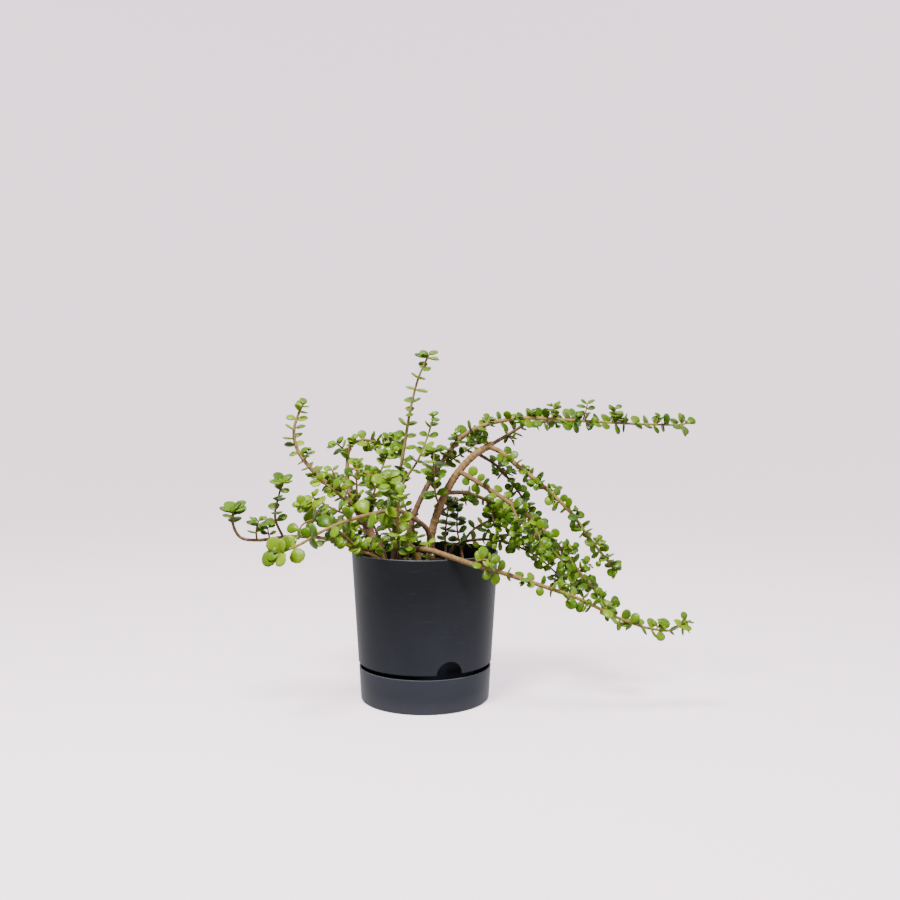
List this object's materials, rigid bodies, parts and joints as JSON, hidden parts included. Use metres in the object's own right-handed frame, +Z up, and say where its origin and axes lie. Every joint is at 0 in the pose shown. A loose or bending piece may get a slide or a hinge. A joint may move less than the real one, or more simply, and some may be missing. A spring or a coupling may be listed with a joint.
{
  "type": "potted dwarf jade plant",
  "caption": "Dwarf jade (elephant bush) with arching and trailing leafy stems, rooted in mix in a round self-watering pot that stands in its saucer.",
  "frame": {"origin": "centre of the saucer's flat underside, on the pot's axis", "axes": "+Z up along the pot's axis, +X to the side that most stems trail to, -Y to the front, where the filling notch shows 22 degrees to the right"},
  "size_m": [0.5489, 0.2558, 0.4337],
  "materials": {
    "pot_plastic": "satin charcoal moulded plastic with fine dust and faint scuffs",
    "saucer_plastic": "satin charcoal moulded plastic, a little lighter than the pot",
    "potting_mix": null,
    "bark": "smooth red-brown to grey-brown bark with ringed leaf scars",
    "leaf": null
  },
  "bodies": {
    "root": {"saucer": "saucer_plastic", "pot": "pot_plastic", "potting_mix": "potting_mix", "main_trunk": "bark", "crest_branch": "leaf", "tan_whip": "leaf", "middle_whip": "leaf", "lower_whip": "leaf", "back_whip": "leaf", "trunk_front_shoot": "leaf", "upper_arch": "leaf", "arch_side_shoot": "leaf", "arch_spur_1": "leaf", "arch_spur_2": "leaf", "arch_spur_3": "leaf", "arch_hanging_spur": "leaf", "front_whip": "leaf", "front_whip_shoot": "leaf", "rim_whip": "leaf", "tall_shoot": "leaf", "second_shoot": "leaf", "left_trunk": "leaf", "fork_stem": "leaf", "fork_twig_left": "leaf", "fork_twig_right": "leaf", "left_long_stem": "leaf", "left_twig_1": "leaf", "left_twig_2": "leaf", "left_twig_3": "leaf", "sweeping_stem": "leaf", "low_left_shoot": "leaf", "front_left_shoot": "leaf", "upper_left_shoot": "leaf", "front_centre_shoot": "leaf", "front_riser": "leaf", "centre_shoot": "leaf", "centre_left_shoot": "leaf", "left_riser": "leaf", "left_fan_shoot": "leaf", "left_hanging_shoot": "leaf", "rim_sprout_1": "leaf", "rim_sprout_2": "leaf", "rim_sprout_3": "leaf", "pale_stump": "bark", "back_shoot_1": "leaf", "back_shoot_2": "leaf", "thin_branch": "leaf", "hanging_shoot_1": "leaf", "hanging_shoot_2": "leaf", "hanging_shoot_3": "leaf", "hanging_shoot_4": "leaf", "low_left_side_shoot": "leaf", "back_left_shoot": "leaf", "back_upright_shoot": "leaf", "back_low_shoot": "leaf", "back_centre_shoot": "leaf", "back_trailing_shoot": "leaf"}
  },
  "joints": []
}
